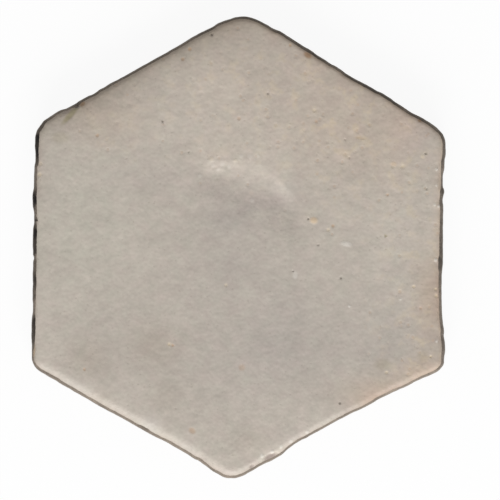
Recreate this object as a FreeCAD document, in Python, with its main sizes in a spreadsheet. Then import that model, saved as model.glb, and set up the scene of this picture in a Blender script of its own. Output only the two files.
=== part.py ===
import FreeCAD, Part

import math
import os

import Sketcher

# Hand-made hexagonal floor tile of fired clay, glazed on its face and round its rolled rim.
# One slab, cut out of wet clay by hand: no corner lies quite on the regular hexagon, the
# corners are rounded unequally, and the sides bow in or out by up to two millimetres.
# Frame: millimetres, origin in the middle of the bare back, +Z up through the glazed face,
# +Y towards the top corner. The tile lies on its back on the plane Z = 0.

# Driving sizes in millimetres, angles in degrees
SIZES = (
    ("across_flats", "150"),
    ("thickness", "15"),
    ("wall_lean", "2.5"),
    ("face_rim_radius", "4"),
    ("back_rim_chamfer", "0.6"),
    ("dent_length", "40"),
    ("dent_width", "18"),
    ("dent_depth", "0.6"),
    ("dent_right", "4.5"),
    ("dent_up", "22"),
    ("dent_turn", "-24"),
)

# Corners anticlockwise from the upper right: shift right and up from the regular hexagon,
# radius of the round, and bow of the side that runs on to the next corner, outwards positive
CORNERS = (
    ("upper_right", "0.8", "-1.4", "8.6", "-0.4"),
    ("top", "1.6", "0.5", "18", "-0.5"),
    ("upper_left", "0.9", "1.5", "9.3", "0.25"),
    ("lower_left", "-0.6", "-0.7", "7.2", "-0.1"),
    ("bottom", "-1.3", "0.8", "8.2", "-1.9"),
    ("lower_right", "0.3", "-1", "5", "-1.2"),
)
CORNER_SIZES = ("right", "up", "round", "bow")
FIRST_CORNER_ANGLE = 30
CORNER_STEP = 360 // len(CORNERS)

# The dent is the tip of a flattened ball whose half height is this many times the dent's depth
DENT_BALL_DEPTHS = 10

# A rolled rim takes up at most this share of a corner's round or of the thickness
RIM_SHARE = 0.8
RIM_DEPTH_SHARE = 0.5

# Points and level faces are told apart to within this distance
FLAT_WITHIN = 0.01


def fill_sheet(doc):
    """Write every driving size into the sheet, one row each, under its own alias."""
    sheet = doc.addObject("Spreadsheet::Sheet", "Sizes")
    rows = list(SIZES)
    for name, *values in CORNERS:
        rows += [(f"{name}_{size}", value) for size, value in zip(CORNER_SIZES, values)]
    for row, (alias, value) in enumerate(rows, start=1):
        sheet.set(f"A{row}", alias)
        sheet.set(f"B{row}", value)
        sheet.setAlias(f"B{row}", alias)
    doc.recompute()
    return sheet


def corner_expressions(index):
    """Place of a corner in the sheet's own terms: the regular hexagon's corner plus its shift."""
    name = CORNERS[index][0]
    angle = FIRST_CORNER_ANGLE + CORNER_STEP * index
    reach = "Sizes.across_flats / sqrt(3)"
    return (
        f"{reach} * cos({angle} deg) + Sizes.{name}_right",
        f"{reach} * sin({angle} deg) + Sizes.{name}_up",
    )


def crown_expressions(index):
    """Place of the middle of the side after a corner: half way along, moved out by its bow."""
    following = (index + 1) % len(CORNERS)
    angle = FIRST_CORNER_ANGLE + CORNER_STEP * (index + 0.5)
    bow = f"Sizes.{CORNERS[index][0]}_bow"
    places = zip(corner_expressions(index), corner_expressions(following), ("cos", "sin"))
    return tuple(f"({a} + {b}) / 2 + {bow} * {turn}({angle} deg)" for a, b, turn in places)


def point_of(sketch, expressions):
    """The point that a pair of expressions gives with the sheet as it is."""
    return FreeCAD.Vector(*(sketch.evalExpression(text) for text in expressions), 0)


def add_side(sketch, start, crown, end):
    """Draw one bowed side as an arc of a circle and give back its index and its two ends.

    A sketch keeps its arcs anticlockwise, so a hollow side is stored from its far corner back.
    """
    circle = Part.Circle(start, crown, end)
    centre = circle.Center
    turns = [math.atan2(p.y - centre.y, p.x - centre.x) for p in (start, end)]
    hollow = (crown - start).cross(end - crown).z < 0
    if hollow:
        turns.reverse()
    if turns[1] < turns[0]:
        turns[1] += 2 * math.pi
    arc = Part.ArcOfCircle(Part.Circle(centre, FreeCAD.Vector(0, 0, 1), circle.Radius), *turns)
    return sketch.addGeometry(arc, False), (2, 1) if hollow else (1, 2)


def place_point(sketch, name, geometry, end, expressions):
    """Hold a point of the sketch at the place that its two expressions give."""
    point = sketch.getPoint(geometry, end)
    for kind, value, expression in zip(("DistanceX", "DistanceY"), point, expressions):
        index = sketch.addConstraint(Sketcher.Constraint(kind, geometry, end, value))
        label = f"{name}_{kind[-1].lower()}"
        sketch.renameConstraint(index, label)
        sketch.setExpression(f"Constraints.{label}", expression)


def lay_on_back(body, feature):
    """Attach a feature to the plane of the tile's back."""
    base = next(o for o in body.Origin.OriginFeatures if o.Role == "XY_Plane")
    feature.AttachmentSupport = [(base, "")]
    feature.MapMode = "FlatFace"


def draw_outline(body):
    """The hand-cut outline of the back: six bowed sides that meet in six sharp corners."""
    sketch = body.newObject("Sketcher::SketchObject", "Outline")
    lay_on_back(body, sketch)

    corners = [point_of(sketch, corner_expressions(i)) for i in range(len(CORNERS))]
    crowns = [point_of(sketch, crown_expressions(i)) for i in range(len(CORNERS))]
    ends_of = zip(corners, crowns, corners[1:] + corners[:1])
    sides = [add_side(sketch, *points) for points in ends_of]

    for index, (side, (start, end)) in enumerate(sides):
        name = CORNERS[index][0]
        following, (next_start, _) = sides[(index + 1) % len(sides)]
        sketch.addConstraint(Sketcher.Constraint("Coincident", side, end, following, next_start))
        place_point(sketch, name, side, start, corner_expressions(index))
        crown = sketch.addGeometry(Part.Point(crowns[index]), True)
        sketch.addConstraint(Sketcher.Constraint("PointOnObject", crown, 1, side))
        place_point(sketch, f"{name}_crown", crown, 1, crown_expressions(index))
    return sketch


def pick_edges(shape, chosen):
    """Names of the edges of a shape that a test picks out."""
    return [f"Edge{i}" for i, edge in enumerate(shape.Edges, start=1) if chosen(edge)]


def level_face(shape, height):
    """Name of the flat face that lies level at a height."""
    for index, face in enumerate(shape.Faces, start=1):
        box = face.BoundBox
        if box.ZLength < FLAT_WITHIN and abs(box.ZMin - height) < FLAT_WITHIN:
            return f"Face{index}"
    raise ValueError(f"no level face at {height}")


def cut_slab(body, outline):
    """The slab as it was cut: the outline pulled up through the clay, its walls leaning in."""
    slab = body.newObject("PartDesign::Pad", "Slab")
    slab.Profile = outline
    slab.setExpression("Length", "Sizes.thickness")
    slab.setExpression("TaperAngle", "-Sizes.wall_lean")
    outline.Document.recompute()
    return slab


def round_corner(body, carrier, index):
    """Round one upright corner edge to its own radius."""
    name = CORNERS[index][0]
    outline = body.getObject("Outline")
    place = point_of(outline, corner_expressions(index))

    def is_corner(edge):
        foot = min((v.Point for v in edge.Vertexes), key=lambda point: point.z)
        return edge.BoundBox.ZLength > FLAT_WITHIN and (foot - place).Length < FLAT_WITHIN

    corner = body.newObject("PartDesign::Fillet", f"Corner_{name}")
    corner.Base = (carrier, pick_edges(carrier.Shape, is_corner))
    corner.setExpression("Radius", f"Sizes.{name}_round")
    body.Document.recompute()
    return corner


def break_back_rim(body, carrier):
    """The narrow bevel all round the bare back, where the cut edge was wiped."""
    rim = body.newObject("PartDesign::Chamfer", "BackRim")
    rim.Base = (carrier, [level_face(carrier.Shape, 0)])
    rim.setExpression("Size", "Sizes.back_rim_chamfer")
    body.Document.recompute()
    return rim


def roll_face_rim(body, carrier, sheet):
    """The rolled rim all round the face, held within the corners' rounds and the thickness."""
    rim = body.newObject("PartDesign::Fillet", "FaceRim")
    rim.Base = (carrier, [level_face(carrier.Shape, sheet.thickness)])
    limits = [f"{RIM_SHARE} * Sizes.{name}_round" for name, *_ in CORNERS]
    limits.append(f"{RIM_DEPTH_SHARE} * Sizes.thickness")
    rim.setExpression("Radius", f"min(Sizes.face_rim_radius; {'; '.join(limits)})")
    body.Document.recompute()
    return rim


def press_dent(body):
    """The shallow thumb dent in the face: the tip of a flattened ball let into the clay."""
    dent = body.newObject("PartDesign::SubtractiveEllipsoid", "Dent")
    lay_on_back(body, dent)
    height = f"{DENT_BALL_DEPTHS} * Sizes.dent_depth"
    share = f"sqrt(1 - (1 - 1 / {DENT_BALL_DEPTHS}) ^ 2)"
    dent.setExpression("Radius1", height)
    dent.setExpression("Radius2", f"Sizes.dent_length / 2 / {share}")
    dent.setExpression("Radius3", f"Sizes.dent_width / 2 / {share}")
    dent.setExpression("AttachmentOffset.Base.x", "Sizes.dent_right")
    dent.setExpression("AttachmentOffset.Base.y", "Sizes.dent_up")
    dent.setExpression("AttachmentOffset.Base.z", f"Sizes.thickness - Sizes.dent_depth + {height}")
    dent.setExpression("AttachmentOffset.Rotation.Angle", "Sizes.dent_turn")
    body.Document.recompute()
    return dent


def build_tile(doc, sheet):
    """Make the tile in the order in which it was made: cut, cornered, trimmed, rolled, dented."""
    tile = doc.addObject("PartDesign::Body", "Tile")
    tile.Label = "hexagon_tile"
    tile.Placement = FreeCAD.Placement()
    feature = cut_slab(tile, draw_outline(tile))
    for index in range(len(CORNERS)):
        feature = round_corner(tile, feature, index)
    feature = break_back_rim(tile, feature)
    feature = roll_face_rim(tile, feature, sheet)
    press_dent(tile)
    return tile


def check(doc, pieces):
    """Stop if any object failed to build or a piece isn't one sound solid."""
    for item in doc.Objects:
        if "Invalid" in item.State or "Error" in item.State:
            raise RuntimeError(f"{item.Label} did not build: {item.State}")
    for piece in pieces:
        shape = piece.Shape
        if shape.isNull() or not shape.isValid() or len(shape.Solids) != 1:
            raise RuntimeError(f"{piece.Label} is not one sound solid")


def main():
    """Build the tile and write each piece to its own file."""
    doc = FreeCAD.newDocument("HexagonTile")
    sheet = fill_sheet(doc)
    pieces = [build_tile(doc, sheet)]
    doc.recompute()
    check(doc, pieces)
    os.makedirs("parts", exist_ok=True)
    for piece in pieces:
        piece.Shape.exportStep(f"parts/{piece.Label}.step")
        print(piece.Label, round(piece.Shape.Volume), "mm3", piece.Shape.optimalBoundingBox())


main()
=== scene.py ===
"""A hand-made hexagonal floor tile with a satin off-white glaze, lying face up on a pale floor."""

import logging
import math
from dataclasses import dataclass, field
from enum import Enum
from functools import cached_property
from typing import Iterable

import bmesh
import bpy
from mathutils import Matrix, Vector, noise
from mathutils.kdtree import KDTree


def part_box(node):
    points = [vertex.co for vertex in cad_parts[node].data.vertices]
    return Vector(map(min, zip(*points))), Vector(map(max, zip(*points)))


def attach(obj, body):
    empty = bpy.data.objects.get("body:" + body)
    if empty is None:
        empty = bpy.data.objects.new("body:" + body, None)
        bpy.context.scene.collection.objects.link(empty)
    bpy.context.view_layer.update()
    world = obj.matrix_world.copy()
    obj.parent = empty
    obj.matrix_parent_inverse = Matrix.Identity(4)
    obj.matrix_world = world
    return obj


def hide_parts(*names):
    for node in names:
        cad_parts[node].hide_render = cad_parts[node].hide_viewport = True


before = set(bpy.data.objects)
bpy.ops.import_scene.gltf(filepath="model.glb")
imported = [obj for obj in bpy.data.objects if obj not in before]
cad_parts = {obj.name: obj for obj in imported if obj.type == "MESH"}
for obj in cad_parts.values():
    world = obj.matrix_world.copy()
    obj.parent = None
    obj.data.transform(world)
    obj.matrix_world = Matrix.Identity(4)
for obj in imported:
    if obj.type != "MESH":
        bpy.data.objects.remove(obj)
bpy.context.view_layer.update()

log = logging.getLogger("tile")

MM = 0.001
NODE = "hexagon_tile"
HEXAGON = 6
Colour = tuple[float, float, float]


def linear(red: int, green: int, blue: int) -> Colour:
    """Turn a colour as a screen shows it into scene values.

    Args:
        red: The screen's red, 0 to 255.
        green: Its green.
        blue: Its blue.

    Returns:
        The three linear channels, 0 to 1.
    """
    shares = (channel / 255 for channel in (red, green, blue))
    return tuple(s / 12.92 if s <= 0.04045 else ((s + 0.055) / 1.055) ** 2.4 for s in shares)


def ease(value: float, low: float, high: float) -> float:
    """Rise smoothly from 0 at low to 1 at high, either way round.

    Args:
        value: The number to place between the two ends.
        low: Where the rise starts.
        high: Where it ends, which may lie below low.

    Returns:
        A number from 0 to 1.
    """
    share = min(max((value - low) / (high - low), 0.0), 1.0)
    return share * share * (3 - 2 * share)


@dataclass(frozen=True)
class PhotoMap:
    """How the photograph's pixels lie on the tile, seen from straight above."""

    side_px: int = 500
    tile_centre_px: tuple[float, float] = (238.5, 247.0)
    pixel: float = 0.3643 * MM

    def place(self, across: float, down: float) -> Vector:
        """Find the place on the tile under a pixel.

        Args:
            across: Pixels from the photograph's left edge.
            down: Pixels from its top edge.

        Returns:
            The place in metres, at height 0.
        """
        right = (across - self.tile_centre_px[0]) * self.pixel
        up = (self.tile_centre_px[1] - down) * self.pixel
        return Vector((right, up, 0.0))

    @property
    def width(self) -> float:
        """The width in metres that the whole photograph takes in at the tile."""
        return self.side_px * self.pixel

    @property
    def middle(self) -> Vector:
        """The place under the photograph's middle."""
        return self.place(self.side_px / 2, self.side_px / 2)


PHOTO = PhotoMap()


@dataclass(frozen=True)
class Layer:
    """One layer of unevenness: how far it swings, and how far apart its lumps lie in millimetres.

    The stretch says how many times farther apart they lie along X, Y and Z.
    """

    swing: float
    spacing: float
    stretch: tuple[float, float, float] = (1, 1, 1)
    shift: tuple[float, float, float] = (0, 0, 0)
    more_where_rough: float = 0.0

    def at(self, place: Vector, rough: float = 0.0) -> float:
        """Read the layer.

        Args:
            place: The place in millimetres.
            rough: How rough the tile is there.

        Returns:
            The layer's value there, from minus its swing to its swing.
        """
        lumps = [along / self.spacing / far for along, far in zip(place, self.stretch)]
        swing = self.swing + self.more_where_rough * rough
        return swing * noise.noise(Vector(lumps) + Vector(self.shift))


def pile(layers: Iterable[Layer], spot: Vector, rough: float = 0.0) -> float:
    """Add up layers that swing by millimetres.

    Args:
        layers: The layers.
        spot: The spot in metres.
        rough: How rough the tile is there.

    Returns:
        Their height in metres.
    """
    place = spot / MM
    return sum(layer.at(place, rough) for layer in layers) * MM


@dataclass(frozen=True)
class Nick:
    """A short stretch of the cut edge that stands in or out, and bares more or less clay.

    Its bearing and its half width are in degrees.
    """

    bearing: float
    half_width: float
    out_mm: float
    bare_mm: float = 0.0

    def strength(self, bearing: float) -> float:
        """How strongly the stretch shows at a bearing in degrees, from 0 to 1."""
        away = (bearing - self.bearing + 180) % 360 - 180
        return math.exp(-((away / self.half_width) ** 4))


# Read off the photograph, anticlockwise from the right
NICKS = (
    Nick(0.2, 5.9, 0.26, 0.12),
    Nick(355.4, 1.9, 0.06, 0.40),
    Nick(8.8, 3.2, 0.08),
    Nick(12.8, 1.0, -0.24),
    Nick(15.2, 0.8, 0.34, 0.40),
    Nick(17.9, 2.3, -0.38, -0.45),
    Nick(24.3, 1.0, 0.30),
    Nick(27.4, 1.8, 0.14),
    Nick(31.6, 1.8, -0.15),
    Nick(38.4, 1.8, -0.25),
    Nick(45.6, 2.4, 0.34, 0.10),
    Nick(56.6, 3.0, -0.30),
    Nick(63.6, 1.2, -0.25),
    Nick(66.6, 1.6, -0.20),
    Nick(70.0, 1.3, 0.16, 0.15),
    Nick(75.5, 1.5, 0.15),
    Nick(78.4, 1.1, 0.22),
    Nick(82.6, 2.5, -0.42),
    Nick(88.3, 1.7, 0.18),
    Nick(93.3, 1.9, -0.28),
    Nick(97.0, 1.2, -0.15),
    Nick(101.6, 2.4, 0.12),
    Nick(127.6, 1.3, 0.15),
    Nick(133.2, 1.2, -0.26),
    Nick(138.6, 0.9, -0.10, 0.30),
    Nick(141.3, 0.5, -0.16),
    Nick(139.6, 1.6, -0.30),
    Nick(143.2, 1.1, 0.28),
    Nick(146.0, 0.6, -0.12),
    Nick(148.6, 1.0, -0.22),
    Nick(150.0, 3.5, 0.0, 0.20),
    Nick(152.4, 2.0, 0.05, 0.30),
    Nick(156.2, 1.9, -0.32, 0.14),
    Nick(160.0, 3.4, 0.0, -0.12),
    Nick(167.1, 2.5, 0.46, 0.34),
    Nick(172.1, 2.3, -0.28, -0.35),
    Nick(172.3, 0.5, 0.0, 0.60),
    Nick(178.5, 4.1, 0.20, 0.25),
    Nick(183.1, 0.6, -0.34, -0.40),
    Nick(192.0, 22.0, -0.20),
    Nick(190.2, 2.2, 0.0, 0.12),
    Nick(196.6, 1.8, -0.26, -0.30),
    Nick(201.6, 3.0, 0.24, 0.28),
    Nick(208.0, 2.2, 0.12, -0.35),
    Nick(214.6, 2.6, -0.26),
    Nick(229.0, 4.0, 0.12, 0.08),
    Nick(242.7, 1.8, 0.0, 0.30),
    Nick(252.6, 5.4, -0.36),
    Nick(259.6, 0.9, -0.25),
    Nick(264.8, 2.8, 0.55),
    Nick(271.6, 2.2, -0.18),
    Nick(277.4, 1.4, 0.12),
    Nick(280.4, 2.7, 0.74),
    Nick(287.2, 1.9, -0.22),
    Nick(308.4, 3.0, 0.34),
    Nick(320.4, 1.5, 0.26),
    Nick(327.0, 2.0, 0.15),
    Nick(330.2, 0.8, 0.10),
    Nick(334.4, 1.8, 0.56, 0.12),
    Nick(338.0, 1.0, 0.26),
    Nick(344.5, 4.4, -0.34, -0.22),
    Nick(350.5, 2.8, -0.20, -0.10),
)


@dataclass
class Outline:
    """The tile's cut outline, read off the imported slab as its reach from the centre.

    Which way a side faces is read off two points, each so many radians beside the bearing.
    """

    node: bpy.types.Object
    nicks: tuple[Nick, ...]
    steps: int = 1440
    smoothing_steps: int = 3
    smoothing_rounds: int = 2
    cut_height: float = 0.8 * MM
    beside: float = math.radians(0.6)
    wobbles: tuple[Layer, ...] = (Layer(0.10, 6), Layer(0.09, 2.1))
    plain_reaches: list[float] = field(init=False)
    reaches: list[float] = field(init=False)

    PARALLEL = 1e-12

    def __post_init__(self) -> None:
        """Cut the slab level just above its back rim, smooth the section and add the nicks."""
        section = self._section()
        bearings = [360 * step / self.steps for step in range(self.steps)]
        plain = [self._between(section, bearing) for bearing in bearings]
        for _ in range(self.smoothing_rounds):
            plain = self._smooth(plain)
        self.plain_reaches = plain
        self.reaches = [r + self._hand(bearing, r) for bearing, r in zip(bearings, plain)]

    def _section(self) -> list[tuple[float, float]]:
        """Cut a copy of the slab level and list its section.

        Returns:
            Pairs of bearing in degrees and reach in metres, in order of bearing.
        """
        slab = bmesh.new()
        slab.from_mesh(self.node.data)
        everything = slab.verts[:] + slab.edges[:] + slab.faces[:]
        level = Vector((0, 0, self.cut_height))
        cut = bmesh.ops.bisect_plane(slab, geom=everything, plane_co=level, plane_no=(0, 0, 1))
        ring = [item.co.copy() for item in cut["geom_cut"] if isinstance(item, bmesh.types.BMVert)]
        slab.free()
        return sorted((math.degrees(math.atan2(p.y, p.x)) % 360, p.xy.length) for p in ring)

    def _between(self, section: list[tuple[float, float]], bearing: float) -> float:
        """Read the section at any bearing, along the chord between its two neighbours.

        Args:
            section: Pairs of bearing in degrees and reach in metres.
            bearing: The bearing in degrees.

        Returns:
            The reach there, in metres.
        """
        after = next((i for i, point in enumerate(section) if point[0] > bearing), 0)
        first, second = (
            Vector((math.cos(math.radians(b)) * r, math.sin(math.radians(b)) * r))
            for b, r in (section[after - 1], section[after])
        )
        ray = Vector((math.cos(math.radians(bearing)), math.sin(math.radians(bearing))))
        chord = second - first
        turned = chord.x * ray.y - chord.y * ray.x
        if abs(turned) < self.PARALLEL:
            return first.length
        return (chord.x * first.y - chord.y * first.x) / turned

    def _smooth(self, reaches: list[float]) -> list[float]:
        """Take the facets out of the corners with a short running mean.

        Args:
            reaches: The reaches, one a step.

        Returns:
            The smoothed reaches.
        """
        span = range(-self.smoothing_steps, self.smoothing_steps + 1)
        count = len(reaches)
        return [sum(reaches[(i + k) % count] for k in span) / len(span) for i in range(count)]

    def _hand(self, bearing: float, reach: float) -> float:
        """Find how far the hand-cut edge strays.

        Args:
            bearing: The bearing in degrees.
            reach: The plain outline's reach there, in metres.

        Returns:
            How much farther out the edge lies, in metres.
        """
        turn = math.radians(bearing)
        place = Vector((math.cos(turn), math.sin(turn), 0)) * reach
        pushed = sum(nick.out_mm * nick.strength(bearing) for nick in self.nicks) * MM
        return pushed + pile(self.wobbles, place)

    def bared(self, bearing: float) -> float:
        """How much more clay the nicks bare at a bearing in radians, in metres."""
        degrees = math.degrees(bearing) % 360
        return sum(n.bare_mm * n.strength(degrees) for n in self.nicks if n.bare_mm) * MM

    def _read(self, reaches: list[float], bearing: float) -> Vector:
        """Find a point on one of the two outlines.

        Args:
            reaches: The outline's reaches.
            bearing: The bearing in radians.

        Returns:
            The point, in metres.
        """
        step = (math.degrees(bearing) % 360) * self.steps / 360
        low = int(step) % self.steps
        share = step - int(step)
        reach = reaches[low] * (1 - share) + reaches[(low + 1) % self.steps] * share
        return Vector((math.cos(bearing), math.sin(bearing))) * reach

    def point(self, bearing: float) -> Vector:
        """The outline's point at a bearing in radians."""
        return self._read(self.reaches, bearing)

    def outward(self, bearing: float) -> Vector:
        """Find the level way straight out of the side, which the small nicks don't turn.

        Args:
            bearing: The bearing in radians.

        Returns:
            The direction, with a length of 1.
        """
        turns = (bearing + self.beside, bearing - self.beside)
        ahead, behind = (self._read(self.plain_reaches, turn) for turn in turns)
        along = ahead - behind
        return Vector((along.y, -along.x)).normalized()

    def inset(self, bearing: float, depth: float) -> Vector:
        """The point that lies a depth inside the outline, straight in from a bearing."""
        return self.point(bearing) - self.outward(bearing) * depth


class Tint(Enum):
    """What thin or uneven glaze does to the even colour, with painted highlight and shade in some:
    its shares of red, green and blue.
    """

    PALE = (1.06, 1.06, 1.06)
    ASH = (0.925, 0.925, 0.938)
    SAGE = (1.01, 1.045, 1.03)
    STRAW = (0.998, 0.948, 0.918)
    MAUVE = (0.93, 0.90, 0.935)
    LILAC = (1.03, 1.045, 1.06)
    PEACH = (1.03, 0.90, 0.80)
    ROSE = (1.045, 0.995, 0.985)
    # UMBER and BARK, on the rims of the upper sides, are painted shade.
    UMBER = (0.70, 0.64, 0.58)
    SMOKE = (0.84, 0.81, 0.79)
    FAWN = (0.96, 0.88, 0.81)
    BARK = (0.79, 0.75, 0.70)


@dataclass(frozen=True)
class Rim:
    """How the face ends: its roll and fall, and the clay and glaze at its edge.

    The face falls by the drop, within about the fall, and then rolls over with the roll's
    radius. The bare clay shows that far in from the outline, darkened by scorch and painted
    shade and paler towards its foot, and the glaze beside it is thin and tinted over about the
    width thin; on the upper sides that tint is painted shade. The sides' rims blend over about
    the spread, in degrees.
    """

    roll: float
    drop: float
    fall: float
    bare: float
    scorch_and_shade: float
    pale_foot: float
    thin: float
    tint: Colour

    SIDE_SPREAD = 20.0
    LEAST_START = math.radians(3)

    @classmethod
    def at(cls, bearing: float) -> "Rim":
        """Blend the six sides' rims.

        Args:
            bearing: The bearing in radians.

        Returns:
            The rim there.
        """
        degrees = math.degrees(bearing)
        away = [(degrees - side + 180) % 360 - 180 for side in SIDES]
        weights = [math.exp(-((turn / cls.SIDE_SPREAD) ** 2)) for turn in away]
        total = sum(weights)

        def blend(values: Iterable[float]) -> float:
            """The weighted mean of one value a side."""
            return sum(weight * value for weight, value in zip(weights, values)) / total

        rims = SIDES.values()
        names = ("roll", "drop", "fall", "bare", "scorch_and_shade", "pale_foot", "thin")
        tint = tuple(blend(channel) for channel in zip(*(rim.tint for rim in rims)))
        return cls(*(blend(getattr(rim, name) for rim in rims) for name in names), tint)

    @property
    def start(self) -> float:
        """The slope in radians at which the fall of the face turns into the roll."""
        return max(math.atan2(self.drop, self.fall), self.LEAST_START)


# The rim in the middle of each side, by the side's bearing in degrees. The scorch is partly
# painted shade on the dark side walls and is left off the lower sides that face the lamp; the
# dark tints at 60 and 120 degrees are painted shade on the upper rims, away from the lamp.
SIDES = {
    0: Rim(2.4 * MM, 0.10 * MM, 1.8 * MM, 1.60 * MM, 0.12, 0.6, 1.2 * MM, Tint.FAWN.value),
    60: Rim(2.3 * MM, 0.45 * MM, 4.0 * MM, 1.42 * MM, 0.34, 0.0, 0.6 * MM, Tint.UMBER.value),
    120: Rim(3.0 * MM, 0.90 * MM, 4.6 * MM, 1.27 * MM, 0.08, 0.0, 3.4 * MM, Tint.BARK.value),
    180: Rim(2.2 * MM, 0.06 * MM, 1.8 * MM, 1.60 * MM, 0.52, 0.0, 0.3 * MM, Tint.SMOKE.value),
    240: Rim(4.4 * MM, 0.18 * MM, 2.8 * MM, 1.38 * MM, 0.0, 0.20, 0.35 * MM, Tint.SMOKE.value),
    300: Rim(3.1 * MM, 0.24 * MM, 2.8 * MM, 1.25 * MM, 0.0, 0.55, 0.5 * MM, Tint.SMOKE.value),
}


class Ink(Enum):
    """The colour of a small mark, as the screen shows it."""

    PIT = (70, 60, 50)
    BROWN = (146, 112, 80)
    RUST = (178, 144, 112)
    AMBER = (214, 187, 154)
    STRAW = (214, 196, 164)
    OLIVE = (150, 141, 114)
    MILK = (224, 220, 212)
    SLATE = (138, 125, 117)
    CLAY = (60, 50, 41)
    TAN = (176, 150, 116)


@dataclass(frozen=True)
class Mark:
    """One mark that the photograph shows, at the pixel where it shows it.

    A mark with a negative depth stands up. A spot's nearness is 1 at the mark's edge, and the
    hollow and the colour fade between the two values of nearness given for each. No mark
    shows past the reach.
    """

    across: float
    down: float
    radius_mm: float
    depth_mm: float
    ink: Ink
    cover: float
    stretch: float = 1.0
    turn: float = 0.0

    REACH = 8 * MM
    HOLLOW_FADES = (1.3, 0.2)
    COLOUR_FADES = (1.2, 0.4)

    @property
    def place(self) -> Vector:
        """The mark's middle on the tile, at height 0."""
        return PHOTO.place(self.across, self.down)

    def nearness(self, spot: Vector) -> float:
        """Find how far a spot lies from the mark's middle.

        Args:
            spot: The spot in metres.

        Returns:
            The distance, where 1 is the mark's edge.
        """
        away = (spot.xy - self.place.xy) / (self.radius_mm * MM)
        turn = math.radians(self.turn)
        along = away.x * math.cos(turn) + away.y * math.sin(turn)
        aside = away.y * math.cos(turn) - away.x * math.sin(turn)
        return math.hypot(along / self.stretch, aside)


class Kind(Enum):
    """A kind of small round mark: its depth in millimetres, ink, and usual radius and cover."""

    PINHOLE = (0.20, Ink.PIT, 0.42, 0.6)
    RUSTY_PIT = (0.12, Ink.RUST, 0.6, 0.55)
    CRATER = (0.14, Ink.STRAW, 0.8, 0.5)
    # The milk-white ink of glints and lumps, which stand up, is a painted highlight.
    GLINT = (-0.12, Ink.MILK, 0.6, 0.45)
    LUMP = (-0.05, Ink.MILK, 0.9, 0.16)


def small_marks(kind: Kind, *spots: tuple[float, ...]) -> tuple[Mark, ...]:
    """Make small round marks of one kind.

    Args:
        kind: What they are.
        spots: The pixel of each, with its radius in millimetres and its cover if unusual.

    Returns:
        The marks.
    """
    depth, ink, *usual = kind.value
    marks = []
    for across, down, *own in spots:
        radius, cover = own + usual[len(own) :]
        marks.append(Mark(across, down, radius, depth, ink, cover))
    return tuple(marks)


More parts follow.
